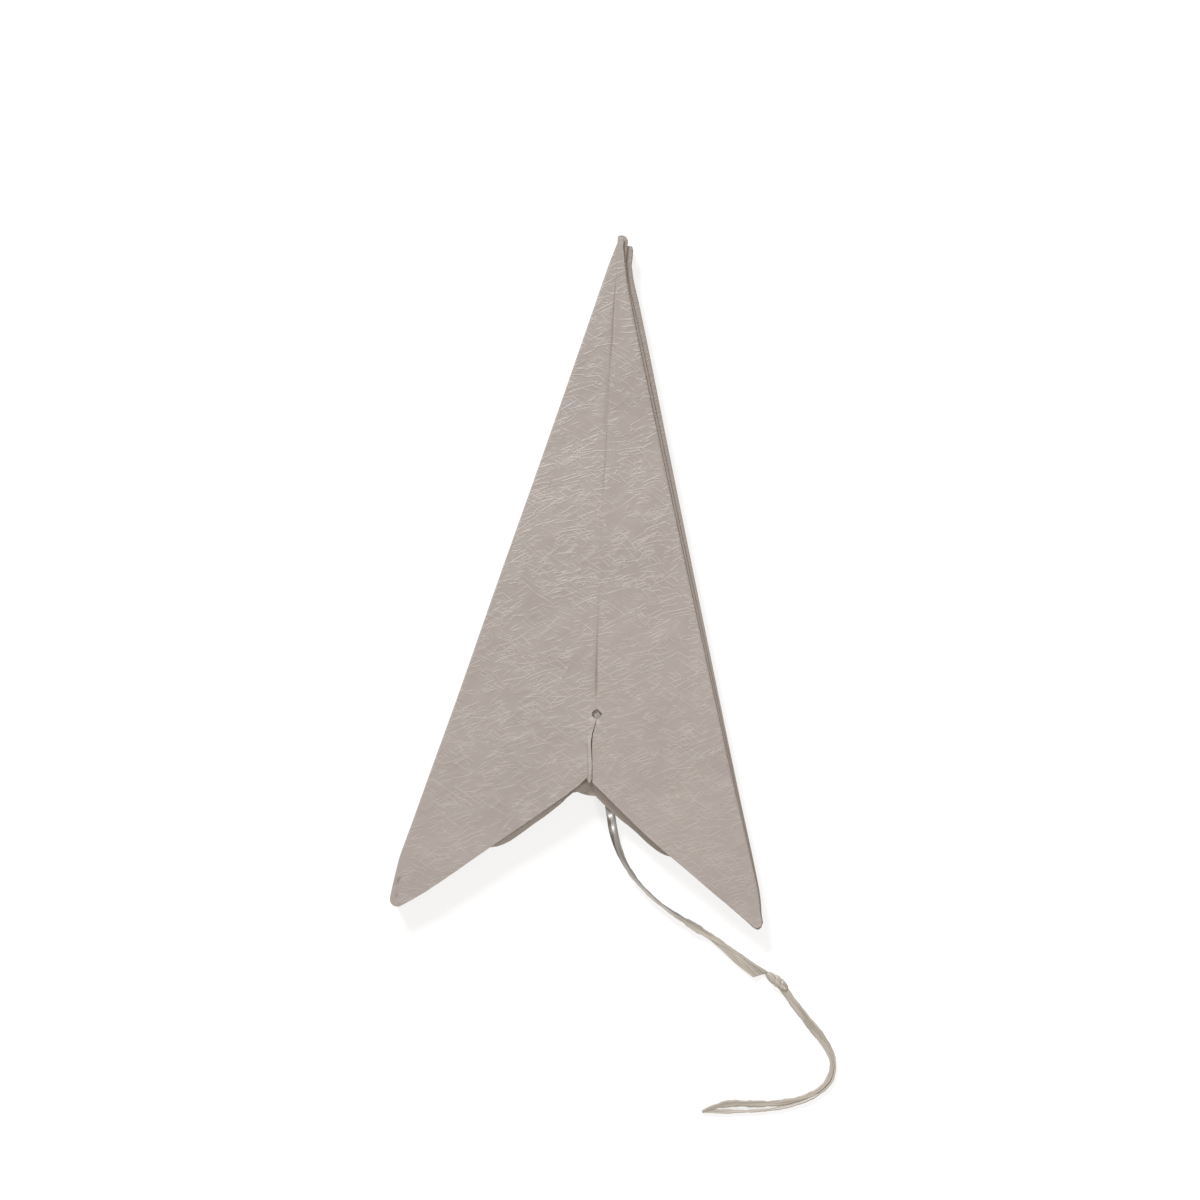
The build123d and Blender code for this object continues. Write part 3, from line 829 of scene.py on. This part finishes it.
def starPoint(number):
    # one folded sheet as a closed shell: outer top, outer bottom, the pocket inside and the rims
    free = number == 1
    page = {"level": star["points"] - number, "fan": (number - 1) % 3, "kind": "front" if free else "under"}
    fan = page["fan"]
    middle, radius = freeLayer["hole"]
    shell = newShell()
    topRows = pageRows(fan, *pageShape["rowSteps"][page["kind"]], free)
    baseRows = pageRows(fan, *pageShape["rowSteps"]["base"])
    insideRows = baseRows
    openFrom = middle + radius + 1e-6  # rows up to here lie along the slit and the hole
    if free:
        insideRows = np.concatenate([baseRows[baseRows > openFrom + 1.0], topRows[topRows <= openFrom]])
    mouthStops = np.array(pageShape["notchStops"][page["kind"]] + pageShape["mouthStops"])
    baseShare = np.concatenate([mouthStops / pageShape["mouthRun"], np.linspace(*pageShape["wingStops"])])
    angles = np.radians(np.linspace(*pageShape["foldAngles"]))
    topLayer = "free" if free else "fringe"
    bands = pageShape["bands"][page["kind"]]
    stops = [start for start, columns in bands[1:]] + [-1000]
    top = {1: [], -1: []}
    base, pocketTop, pocketBase, parted = {}, {}, {}, {}
    for side in (1, -1):
        for (start, columns), stop in zip(bands, stops):
            rows = topRows[(topRows <= start) & (topRows > stop)]
            share = (np.arange(columns + 1) / columns) ** pageShape["spread"][page["kind"]]
            grid = pageSide(rows, side, share, angles, page, topLayer, 1)
            # painted shade on the points below the first
            raised = np.full(grid.shape[:2], 0.0 if free else pageShape["underShade"][side])
            parted[stop] = np.zeros(len(rows), bool)
            if free:
                facet = grid[:, :columns + 1]
                facet, seam, gap = openSeam(side, facet, rows)
                grid[:, :columns + 1], raised[:, :columns + 1] = dressFreeLayer(side, facet, rows, seam)
                parted[stop] = gap > 0
            top[side].append(addGrid(shell, grid, raised))
        base[side] = addGrid(shell, pageSide(baseRows, side, baseShare, -angles, page, "fringe", -1))
        grid = pageSide(insideRows, side, baseShare, angles[:1], page, topLayer, 1, star["cardThick"])
        insideParted = np.zeros(len(insideRows), bool)
        if free:
            grid, seam, gap = openSeam(side, grid, insideRows)
            grid[..., 2] += mouthRise(insideRows, grid[..., 0] - seam[:, None])
            insideParted = gap > 0
        # painted shade inside the pocket
        pocketTop[side] = addGrid(shell, grid, np.full(grid.shape[:2], pageShape["pocketShade"]))
        grid = pageSide(insideRows, side, baseShare, -angles[:1], page, "fringe", -1, star["cardThick"])
        # painted shade on the pocket's floor
        tone = np.full(grid.shape[:2], pageShape["pocketShade"])
        if free:
            grid, tone = dressPocket(grid, tone)
        pocketBase[side] = addGrid(shell, grid, tone)
    # the two halves meet at the crease, except along the hole and the slit
    for left, right, stop in zip(top[-1], top[1], stops):
        left[~parted[stop], 0] = right[~parted[stop], 0]
    pocketTop[-1][~insideParted, 0] = pocketTop[1][~insideParted, 0]
    base[-1][:, 0] = base[1][:, 0]
    pocketBase[-1][:, 0] = pocketBase[1][:, 0]
    for side in (1, -1):
        for grids in (*top[side], base[side], pocketTop[side], pocketBase[side]):
            fillGrid(shell, grids)
        for upper, lower in zip(top[side][:-1], top[side][1:]):
            bridge(shell, upper[-1], lower[0])
        ridgeLine = np.concatenate([band[:, -1] for band in top[side]])
        bridge(shell, ridgeLine, base[side][:, -1])
        bridge(shell, pocketTop[side][:, -1], pocketBase[side][:, -1])
        outerTop = top[side][-1][-1]
        innerTop = pocketTop[side][-1]
        bridge(shell, outerTop, innerTop)
        bridge(shell, base[side][-1], pocketBase[side][-1])
        # the end of the fold, between the outer and the inner curve
        ends = np.array([outerTop[-1], base[side][-1, -1], pocketBase[side][-1, -1], innerTop[-1]])
        shell["quads"].append(ends[None])
        if free:
            seamLine = np.concatenate([band[:, 0] for band in top[side]])
            outer = seamLine[topRows <= openFrom]
            inner = pocketTop[side][:, 0][insideRows <= openFrom]
            fillGrid(shell, np.stack([outer, inner], 1))
    name = f"folded_point_{number}"
    return shellObject(name, shell, card, pageShape["sharpAngle"], lambda points: fanned(points, fan))


for number in range(1, star["points"] + 1):
    page = starPoint(number)
    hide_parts(f"star_point_{number}")
print("star points made")

# The hanging ribbon: control points measured from the notch, in millimetres
ribbon = {
    "route": [
        (6.1, -2.5, 4.75), (6.8, -8.2, 4.70), (7.2, -10.2, 5.05), (7.65, -12.1, 4.32), (8.1, -14.4, 4.00),
        (8.6, -16.5, 3.15), (9.3, -18.7, 2.45), (10.2, -21.4, 1.95), (13.0, -27.1, 1.65), (18.0, -33.5, 1.65),
        (25.3, -39.7, 1.65), (34.0, -44.7, 1.48), (43.3, -49.6, 0.95), (50.6, -53.5, 0.78),
        (57.6, -57.6, 0.85), (63.0, -60.9, 1.60), (66.6, -62.9, 1.80),
        # the outer strand, to the fold at its far end
        (69.0, -65.9, 1.30), (74.2, -72.0, 0.70), (79.7, -77.5, 0.60), (84.3, -83.4, 0.65),
        (86.2, -90.0, 0.70), (84.5, -95.9, 0.70), (78.2, -100.8, 0.65), (70.3, -103.9, 0.55),
        (62.0, -105.45, 0.60), (52.5, -106.25, 0.60), (46.2, -106.55, 0.65), (42.5, -107.2, 0.75),
        # and the inner one back
        (46.5, -105.2, 0.80), (52.3, -103.4, 0.70), (61.2, -103.3, 0.60), (70.3, -102.3, 0.65),
        (78.7, -99.4, 0.80), (83.8, -94.9, 1.05), (85.4, -89.4, 1.10), (83.9, -84.4, 1.10),
        (78.75, -78.9, 0.85), (72.3, -71.4, 0.70), (68.4, -66.7, 1.20), (66.2, -63.9, 1.60),
    ],
    "length": 0.254,  # metres
    # by millimetres along the band: half-width, half-thickness, twist in degrees and arch across it
    "along": {
        "halfWidth": [(0, 1.5), (24, 1.5), (40, 1.45), (60, 1.4), (66, 0.95), (72, 0.55), (82, 0.5),
                      (90, 0.85), (100, 0.8), (118, 0.8), (132, 0.72), (144, 0.58), (158, 0.5), (164, 0.62),
                      (169, 0.75), (172, 0.5), (174, 0.36), (176, 0.6), (180, 0.98), (195, 1.1), (208, 0.9),
                      (218, 0.8), (250, 0.82)],
        "halfThick": [(0, 0.13), (28, 0.14), (40, 0.24), (52, 0.24), (60, 0.15), (68, 0.12), (80, 0.13),
                      (90, 0.5), (120, 0.46), (150, 0.42), (164, 0.3), (172, 0.3), (182, 0.4), (215, 0.44),
                      (250, 0.5)],
        "twist": [(0, 0), (5, 6), (8, 15), (15, 19), (19, 34), (25, 52), (32, 64), (40, 70), (48, 70),
                  (52, 60), (57, 40), (63, 22), (70, 8), (78, 0), (250, 0)],
        "arch": [(0, 0.05), (7, 0.10), (16, 0.12), (26, 0.2), (40, 0.15), (60, 0.1), (74, 0), (250, 0)],
        # darker where an edge is turned away: the outer edge of the first bend, then the inner one
        "outerShade": [(0, 0), (7, 0), (10, 0.9), (20, 0.95), (26, 0.4), (30, 0), (250, 0)],
        # and where the outer shade starts, as a share of the half-width
        "outerFrom": [(0, 0.6), (8, 0.5), (11, 0.1), (16, 0.12), (20, 0.4), (26, 0.5), (250, 0.5)],
        "innerShade": [(0, 0), (18, 0), (24, 0.7), (40, 0.9), (49, 1.0), (54, 0.6), (60, 0), (250, 0)],
        "gloss": [(0, 1), (18, 1), (26, 0.35), (34, 0.1), (250, 0.1)],
    },
    "innerFrom": 0.45,  # where the inner shade starts, as such a share
    "shadeRuns": (0.3, 0.5),  # over what share the outer and the inner shade grow
    "crinkle": ((9.0, 0.10), (4.1, 0.07), (2.3, 0.04)),  # mm along the band and share of its width
    "crinkleShift": 1.3,  # between the waves
    "crinkleFrom": (16.0, 16.0),  # mm along it where they start to grow, and over what run
    "section": (0.9, 0.7),  # powers of the cosine and the sine of its oval section
    "pleats": (0.10, 7, 0.35, 900.0),  # depth, count, sway and sway by metre of its lengthwise pleats
    "sharpAngle": 60,
    "exit": (7.3, -11.4, 4.70),  # where it leaves the pocket
    "step": 0.5,
    "round": 30,  # points round the band
    "threadScale": (10.0, 100.0),  # of its UV by metre, along and across
    "knotAhead": (0.76, -0.65),  # the way the knot and the cut end lie
}


def routeLine():
    # the route as an order 3 NURBS line, read back as points in metres
    curve = bpy.data.curves.new("ribbonRoute", "CURVE")
    curve.dimensions = "3D"
    spline = curve.splines.new("NURBS")
    points = toFrame(np.array(ribbon["route"]) + np.array([*notch, 0.0]))
    spline.points.add(len(points) - 1)
    spline.points.foreach_set("co", np.column_stack([points, np.ones(len(points))]).ravel())
    spline.order_u = 3
    spline.use_endpoint_u = True
    spline.resolution_u = 24
    holder = bpy.data.objects.new("ribbonRoute", curve)
    bpy.context.scene.collection.objects.link(holder)
    bpy.context.view_layer.update()
    mesh = bpy.data.meshes.new_from_object(holder)
    line = np.zeros(len(mesh.vertices) * 3)
    mesh.vertices.foreach_get("co", line)
    bpy.data.objects.remove(holder)
    bpy.data.curves.remove(curve)
    bpy.data.meshes.remove(mesh)
    return line.reshape(-1, 3)


def evenLine(line, step):
    # the same line with points at equal steps
    run = np.concatenate([[0], np.cumsum(np.linalg.norm(np.diff(line, axis=0), axis=1))])
    even = np.linspace(0, run[-1], int(run[-1] / step) + 1)
    return np.column_stack([np.interp(even, run, line[:, k]) for k in range(3)]), even


def cellCorners(grid):
    # the four corners of each cell of a grid, in turn
    return np.stack([grid[:-1, :-1], grid[:-1, 1:], grid[1:, 1:], grid[1:, :-1]], 2)


def bandMesh(name, line, run):
    # a closed band: a flattened oval section carried along the line, turned by the twist about it; the
    # section is wide cos, thick sin to a power below one, with lengthwise pleats and crinkled by sines
    mm = run * 1000.0
    at = {key: lineThrough(mm, knots)[:, None] for key, knots in ribbon["along"].items()}
    crinkle = sum(share * np.sin(mm * 2 * math.pi / wave + ribbon["crinkleShift"] * wave)
                  for wave, share in ribbon["crinkle"])
    crinkle = crinkle * easeStep((mm - ribbon["crinkleFrom"][0]) / ribbon["crinkleFrom"][1])
    halfWidth = at["halfWidth"] * (1 + crinkle)[:, None] * 0.001
    twist = np.radians(at["twist"])
    around = ribbon["round"]
    ahead = np.gradient(line, axis=0)
    ahead /= np.linalg.norm(ahead, axis=1)[:, None]
    side = np.cross(ahead, np.array([0.0, 0.0, 1.0]))
    side /= np.linalg.norm(side, axis=1)[:, None]
    up = np.cross(side, ahead)
    turned = side * np.cos(twist) + up * np.sin(twist)
    lifted = up * np.cos(twist) - side * np.sin(twist)
    angle = np.linspace(0, 2 * math.pi, around, endpoint=False)
    wide, thin = np.cos(angle), np.sin(angle)
    across = np.sign(wide) * np.abs(wide) ** ribbon["section"][0]
    over = np.sign(thin) * np.abs(thin) ** ribbon["section"][1]
    deep, count, sway, swayBy = ribbon["pleats"]
    pleat = 1 + deep * np.sin(count * angle[None] + sway * np.sin(run[:, None] * swayBy))
    arch = at["arch"] * np.cos(twist) * 0.001
    thick = at["halfThick"] * 0.001 * over[None] * pleat + arch * (1 - across ** 2)[None]
    grid = line[:, None] + turned[:, None] * (halfWidth * across[None])[..., None]
    grid = grid + lifted[:, None] * thick[..., None]
    numbers = np.arange(len(line) * around).reshape(len(line), around)
    cells = cellCorners(np.concatenate([numbers, numbers[:, :1]], 1)).reshape(-1, 4)
    faces = cells.tolist() + [numbers[0][::-1].tolist(), numbers[-1].tolist()]
    mesh = bpy.data.meshes.new(name)
    mesh.from_pydata(grid.reshape(-1, 3).tolist(), [], faces)
    share = np.arange(around + 1) / around
    spots = np.stack(np.meshgrid(run * ribbon["threadScale"][0], share, indexing="ij"), -1)
    ends = np.column_stack([np.zeros(2 * around), np.tile(share[:-1], 2)])
    layer = mesh.uv_layers.new(name="along")
    layer.data.foreach_set("uv", np.concatenate([cellCorners(spots).reshape(-1, 2), ends]).ravel())
    # how dark and how glossy it is, by place along and across
    outerRun, innerRun = ribbon["shadeRuns"]
    outer = easeStep((across[None] - at["outerFrom"]) / outerRun) * at["outerShade"]
    inner = easeStep((ribbon["innerFrom"] - across) / innerRun)[None] * at["innerShade"]
    shade = np.clip(outer + inner, 0, 1)
    pointValues(mesh, "shade", shade)
    pointValues(mesh, "gloss", at["gloss"] * (1 - shade))
    cleanMesh(mesh, False)
    piece = finishPiece(mesh, satin, ribbon["sharpAngle"])
    return piece


bandLine, bandRun = evenLine(routeLine(), ribbon["step"] * 0.001)
print("ribbon line", round(bandRun[-1], 4), "m long")
band = bandMesh("hanging_band", bandLine, bandRun)

# The knot and the cut end beside it
knotShape = {
    "from": (61.8, -60.2),
    "to": (68.7, -64.7),
    "radius": 1.75,
    "height": 1.72,  # of its middle above the table
    "wraps": ((0.36, 0.10, 0.6), (0.62, 0.09, 0.9)),  # place along it, slant and turn of each groove
    "groove": (0.36, 0.035),  # depth and half-width, as a share of its length
    "ends": (0.06, 0.88),  # the part of the half turn of its profile: start and share
    "pleats": (0.025, 11, 9),  # depth, count round it and slant
    "flat": 0.9,  # its height by its width
    "grid": (61, 48),  # points along and round it
    "sharpAngle": 50,
}


def knotMesh():
    # oval of turn: radius times the root of sin(pi a), with slanting grooves between the wraps and pleats
    rows, around = knotShape["grid"]
    first, part = knotShape["ends"]
    deep, count, slope = knotShape["pleats"]
    a = np.linspace(0.0, 1.0, rows)[:, None]
    turn = np.linspace(0, 2 * math.pi, around, endpoint=False)[None]
    radius = knotShape["radius"] * np.sqrt(np.maximum(np.sin(math.pi * (first + part * a)), 0))
    radius = radius * (1 + deep * np.sin(count * turn + slope * a))
    for place, slant, phase in knotShape["wraps"]:
        off = a - place - slant * np.cos(turn - phase)
        radius = radius - knotShape["groove"][0] * np.exp(-(off / knotShape["groove"][1]) ** 2)
    start = np.array([*knotShape["from"], 0.0])
    end = np.array([*knotShape["to"], 0.0])
    ahead = (end - start) / np.linalg.norm(end - start)
    side = np.cross(ahead, np.array([0.0, 0.0, 1.0]))
    base = start + (end - start) * a[..., None] + np.array([*notch, knotShape["height"]])
    grid = base + side * (radius * np.cos(turn))[..., None]
    grid = grid + np.array([0.0, 0.0, knotShape["flat"]]) * (radius * np.sin(turn))[..., None]
    shell = newShell()
    numbers = addGrid(shell, grid)
    fillGrid(shell, np.concatenate([numbers, numbers[:, :1]], 1))
    poles = addGrid(shell, np.stack([base[0], base[-1]]))
    for pole, ring in ((poles[0, 0], numbers[0]), (poles[1, 0], numbers[-1])):
        shell["tris"].append(np.column_stack([ring, np.roll(ring, -1), np.full(len(ring), pole)]))
    return shellObject("ribbon_knot", shell, satin, knotShape["sharpAngle"])


tail = {
    "edgeNear": [(42.8, -49.4), (48.8, -52.6), (54.9, -55.9), (61.6, -60.2)],
    "edgeFar": [(42.3, -50.2), (46.9, -53.9), (51.9, -58.0), (57.4, -61.8)],
    "thick": 0.16,
    "height": 0.75,  # of its middle beside the band
    "tilt": (0.35, 1.5),  # how much higher its far edge is, and the power by which it rises
    "wave": (0.05, 7.0),  # height and turns of its wave
    "grid": (25, 11),  # points along and across it
    "sharpAngle": 50,
}


def tailMesh():
    # the flat cut end: straight-line mix of its two edges, with a slight wave, as a thin closed sheet
    rows = np.linspace(0, 1, tail["grid"][0])
    across = np.linspace(0, 1, tail["grid"][1])
    edges = [np.array(tail[name]) for name in ("edgeNear", "edgeFar")]
    near, far = (np.column_stack([lineThrough(rows * (len(edge) - 1), list(enumerate(edge[:, k])))
                                  for k in (0, 1)]) for edge in edges)
    plan = notch + near[:, None] * (1 - across)[None, :, None] + far[:, None] * across[None, :, None]
    high, turns = tail["wave"]
    tilt, power = tail["tilt"]
    z = tail["height"] + tilt * across[None] ** power + high * np.sin(rows * turns)[:, None]
    shell = newShell()
    half = tail["thick"] / 2
    upper = addGrid(shell, withHeight(plan, z + half))
    lower = addGrid(shell, withHeight(plan, z - half))
    rims = [np.stack([upper[k], lower[k]], 1) for k in (0, -1)]
    rims += [np.stack([upper[:, k], lower[:, k]], 1) for k in (0, -1)]
    for grid in (upper, lower, *rims):
        fillGrid(shell, grid)
    return shellObject("ribbon_cut_end", shell, satin, tail["sharpAngle"])


knot = knotMesh()
cutEnd = tailMesh()
for piece in (knot, cutEnd):
    layer = piece.data.uv_layers.new(name="along")
    spots = np.zeros(len(piece.data.vertices) * 3)
    piece.data.vertices.foreach_get("co", spots)
    corner = np.zeros(len(piece.data.loops), np.int32)
    piece.data.loops.foreach_get("vertex_index", corner)
    spots = spots.reshape(-1, 3)[corner]
    # along the way they lie, and across it
    aheadX, aheadY = ribbon["knotAhead"]
    along = spots[:, 0] * aheadX + spots[:, 1] * aheadY
    across = spots[:, 1] * aheadX - spots[:, 0] * aheadY
    layer.data.foreach_set("uv", (np.column_stack([along, across]) * ribbon["threadScale"]).ravel())
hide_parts("hanging_ribbon")
print("ribbon made")

# Floor, light and camera
stageLook = {
    "floorSize": 16.0,
    "floorZ": -0.0002,
    "ownWhite": 0.74,  # what the floor shows the camera by itself, the rest is lit
    "lit": (0.37, 0.37, 0.37, 1),
    "plain": (0.9, 0.9, 0.9, 1),  # its colour for all other rays
    "world": 0.30,
    "worldColor": (1.0, 0.94, 0.86, 1),
}


def floorPiece():
    # a plain white floor that keeps the shadow: part of its white is its own, for rays that show it
    half = stageLook["floorSize"] / 2
    corners = [(x * half, y * half, stageLook["floorZ"]) for x, y in ((-1, -1), (1, -1), (1, 1), (-1, 1))]
    mesh = bpy.data.meshes.new("floor")
    mesh.from_pydata(corners, [], [(0, 1, 2, 3)])
    material, tree, shader = newMaterial("pale_floor")
    tree.nodes.remove(shader)
    plain = addNode(tree, "BsdfDiffuse", {"Color": stageLook["plain"]}).outputs["BSDF"]
    lit = addNode(tree, "BsdfDiffuse", {"Color": stageLook["lit"]}).outputs["BSDF"]
    own = addNode(tree, "Emission", {"Strength": stageLook["ownWhite"]}).outputs["Emission"]
    both = addNode(tree, "AddShader", {0: lit, 1: own}).outputs["Shader"]
    rays = addNode(tree, "LightPath", {}).outputs
    seen = mathValue(tree, "MAXIMUM", rays["Is Camera Ray"], rays["Is Glossy Ray"])
    seen = mathValue(tree, "MAXIMUM", seen, rays["Is Transmission Ray"])
    shown = addNode(tree, "MixShader", {"Fac": seen, 1: plain, 2: both}).outputs["Shader"]
    feed(tree, tree.nodes["Material Output"], {"Surface": shown})
    mesh.materials.append(material)
    floor = bpy.data.objects.new("floor", mesh)
    bpy.context.scene.collection.objects.link(floor)


def areaLamp(name, place, aim, size, power, tint):
    # a square soft lamp at a place, facing the aim
    lamp = bpy.data.lights.new(name, "AREA")
    lamp.size = size
    lamp.energy = power
    lamp.color = tint
    holder = bpy.data.objects.new(name, lamp)
    holder.location = place
    holder.rotation_euler = (Vector(aim) - Vector(place)).to_track_quat("-Z", "Y").to_euler()
    bpy.context.scene.collection.objects.link(holder)


floorPiece()
world = bpy.data.worlds.new("studio")
world.use_nodes = True
sky = {"Color": stageLook["worldColor"], "Strength": stageLook["world"]}
feed(world.node_tree, world.node_tree.nodes["Background"], sky)
bpy.context.scene.world = world
lamps = {
    "key": ((-1.10, 2.00, 1.62), 0.78, 74.0, (0.98, 1.0, 1.04)),  # place, size, power and colour
    "fill": ((0.75, -0.95, 0.95), 0.32, 7.0, (1.0, 0.97, 0.93)),
}
for name, (place, size, power, tint) in lamps.items():
    areaLamp(name, place, (0.0, 0.0, 0.0), size, power, tint)

# Straight down, turned so that the star leans as it lies in the picture
shot = {
    "aim": (0.0015, -0.0069, 0.008),
    "lean": 3.56,  # degrees
    "width": 0.3915,  # metres across the picture at the aim
    "distance": 1.15,
    "sensor": 36.0,  # mm
}
lens = bpy.data.cameras.new("camera")
lens.sensor_width = shot["sensor"]
lens.lens = shot["sensor"] * shot["distance"] / shot["width"]
camera = bpy.data.objects.new("camera", lens)
camera.matrix_world = (
    Matrix.Translation(Vector(shot["aim"]) + Vector((0, 0, shot["distance"])))
    @ Matrix.Rotation(math.radians(shot["lean"]), 4, "Z")
)
bpy.context.scene.collection.objects.link(camera)
bpy.context.scene.camera = camera
bpy.context.scene.view_settings.view_transform = "Standard"
print("stage made")
